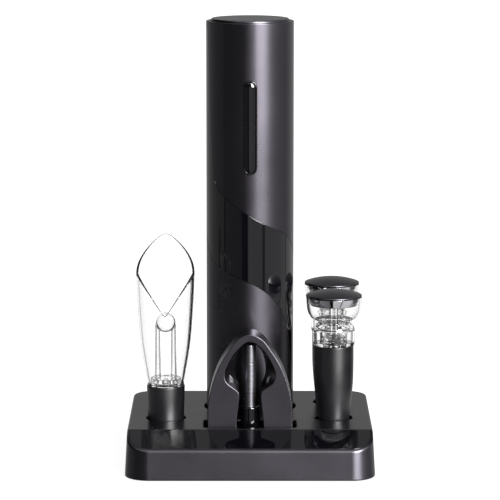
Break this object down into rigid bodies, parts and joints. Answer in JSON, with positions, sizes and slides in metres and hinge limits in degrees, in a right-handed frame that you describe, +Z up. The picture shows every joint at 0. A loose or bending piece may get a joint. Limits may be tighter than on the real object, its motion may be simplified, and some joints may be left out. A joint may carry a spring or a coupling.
{
  "type": "electric wine opener",
  "caption": "Upright cylindrical electric corkscrew on a storage base with foil cutter, aerating pourer and vacuum stoppers.",
  "frame": {"origin": "centre of the base's underside, on the surface it stands on", "axes": "+Z up along the opener, -Y towards the user (the sloped gloss panel and the switch), +X to the user's right"},
  "size_m": [0.1338, 0.122, 0.2403],
  "materials": {
    "satin_black": "satin dark grey-black lacquer",
    "gloss_black": "high gloss",
    "base_black": "satin moulded",
    "matte_black": "matt moulded",
    "silicone": "smooth silicone rubber",
    "clear_plastic": "clear, polished",
    "chrome": "mirror",
    "steel": "machined",
    "brass": "machined",
    "white_plastic": "natural acetal",
    "board_green": "solder mask",
    "cell_wrap": "heat-shrink sleeve"
  },
  "bodies": {
    "base": {"base_shell": "base_black", "front_panel": "gloss_black", "bottom_plate": "matte_black", "foot_front_left": "silicone", "foot_front_right": "silicone", "foot_rear_left": "silicone", "foot_rear_right": "silicone", "base_screw_1": "steel", "base_screw_2": "steel", "base_screw_3": "steel", "base_screw_4": "steel", "post_pedestal": "gloss_black", "cutter_post": "steel"},
    "opener": {"outer_sleeve": "satin_black", "gloss_band": "gloss_black", "top_cap": "satin_black", "switch_surround": "gloss_black", "rocker_pin": "steel", "control_board": "board_green", "raise_key_switch": "matte_black", "lower_key_switch": "matte_black", "battery_cell": "cell_wrap", "charging_port": "steel", "chassis_front": "matte_black", "chassis_rear": "matte_black", "motor": "steel", "gearbox_floor": "matte_black", "output_bush": "brass", "ring_gear": "steel", "motor_plate": "steel", "bottle_collar": "matte_black", "cork_guide": "clear_plastic"},
    "rocker": {"rocker_switch": "gloss_black"},
    "worm": {"planet_carrier": "steel", "worm_chuck": "matte_black", "corkscrew": "chrome"},
    "motor_rotor": {"motor_shaft": "steel", "sun_gear": "brass"},
    "planet_1": {"planet_gear_1": "white_plastic"},
    "planet_2": {"planet_gear_2": "white_plastic"},
    "planet_3": {"planet_gear_3": "white_plastic"},
    "foil_cutter": {"cutter_body": "satin_black", "wheel_pin_left": "steel", "wheel_pin_right": "steel"},
    "wheel_left": {"cutting_wheel_left": "steel"},
    "wheel_right": {"cutting_wheel_right": "steel"},
    "pourer": {"pourer_sleeve": "silicone", "pourer_glass": "clear_plastic", "aerator_disc": "clear_plastic", "air_tubes": "clear_plastic"},
    "front_stopper": {"front_stopper_plug": "silicone", "front_stopper_body": "clear_plastic"},
    "front_stopper_pump": {"front_stopper_piston": "white_plastic", "front_stopper_ring": "chrome", "front_stopper_cap": "satin_black"},
    "rear_stopper": {"rear_stopper_plug": "silicone", "rear_stopper_body": "clear_plastic"},
    "rear_stopper_pump": {"rear_stopper_piston": "white_plastic", "rear_stopper_ring": "chrome", "rear_stopper_cap": "satin_black"}
  },
  "joints": [
    {"name": "opener_lift", "type": "slide", "parent": "base", "child": "opener", "axis": [0, 0, 1], "range_m": [0, 0.3]},
    {"name": "rocker_tilt", "type": "hinge", "parent": "opener", "child": "rocker", "pos_m": [0, -0.0019, 0.1827], "axis": [1, 0, 0], "range_deg": [-2.5, 2.5], "stiffness_Nm_per_rad": 0.05},
    {"name": "corkscrew_spin", "type": "hinge", "parent": "opener", "child": "worm", "pos_m": [0, 0.02, 0.1], "axis": [0, 0, 1], "continuous": true},
    {"name": "motor_spin", "type": "hinge", "parent": "opener", "child": "motor_rotor", "pos_m": [0, 0.02, 0.12], "axis": [0, 0, 1], "continuous": true},
    {"name": "foil_cutter_lift", "type": "slide", "parent": "base", "child": "foil_cutter", "axis": [0, 0, 1], "range_m": [0, 0.15]},
    {"name": "wheel_left_spin", "type": "hinge", "parent": "foil_cutter", "child": "wheel_left", "pos_m": [-0.0133, -0.0282, 0.0477], "axis": [0, 1, 0], "continuous": true},
    {"name": "wheel_right_spin", "type": "hinge", "parent": "foil_cutter", "child": "wheel_right", "pos_m": [0.0133, -0.0282, 0.0477], "axis": [0, 1, 0], "continuous": true},
    {"name": "pourer_lift", "type": "slide", "parent": "base", "child": "pourer", "axis": [0, 0, 1], "range_m": [0, 0.15]},
    {"name": "front_stopper_lift", "type": "slide", "parent": "base", "child": "front_stopper", "axis": [0, 0, 1], "range_m": [0, 0.15]},
    {"name": "front_pump_pull", "type": "slide", "parent": "front_stopper", "child": "front_stopper_pump", "axis": [0, 0, 1], "range_m": [0, 0.006]},
    {"name": "rear_stopper_lift", "type": "slide", "parent": "base", "child": "rear_stopper", "axis": [0, 0, 1], "range_m": [0, 0.15]},
    {"name": "rear_pump_pull", "type": "slide", "parent": "rear_stopper", "child": "rear_stopper_pump", "axis": [0, 0, 1], "range_m": [0, 0.006]},
    {"name": "planet_1_spin", "type": "hinge", "parent": "worm", "child": "planet_1", "pos_m": [0.009, 0.02, 0.118], "axis": [0, 0, 1], "continuous": true},
    {"name": "planet_2_spin", "type": "hinge", "parent": "worm", "child": "planet_2", "pos_m": [-0.0045, 0.02779, 0.118], "axis": [0, 0, 1], "continuous": true},
    {"name": "planet_3_spin", "type": "hinge", "parent": "worm", "child": "planet_3", "pos_m": [-0.0045, 0.01221, 0.118], "axis": [0, 0, 1], "continuous": true}
  ],
  "couplings": [
    {"joint": "motor_spin", "follows": "corkscrew_spin", "ratio": 5},
    {"joint": "planet_1_spin", "follows": "corkscrew_spin", "ratio": -2.6667},
    {"joint": "planet_2_spin", "follows": "corkscrew_spin", "ratio": -2.6667},
    {"joint": "planet_3_spin", "follows": "corkscrew_spin", "ratio": -2.6667}
  ]
}
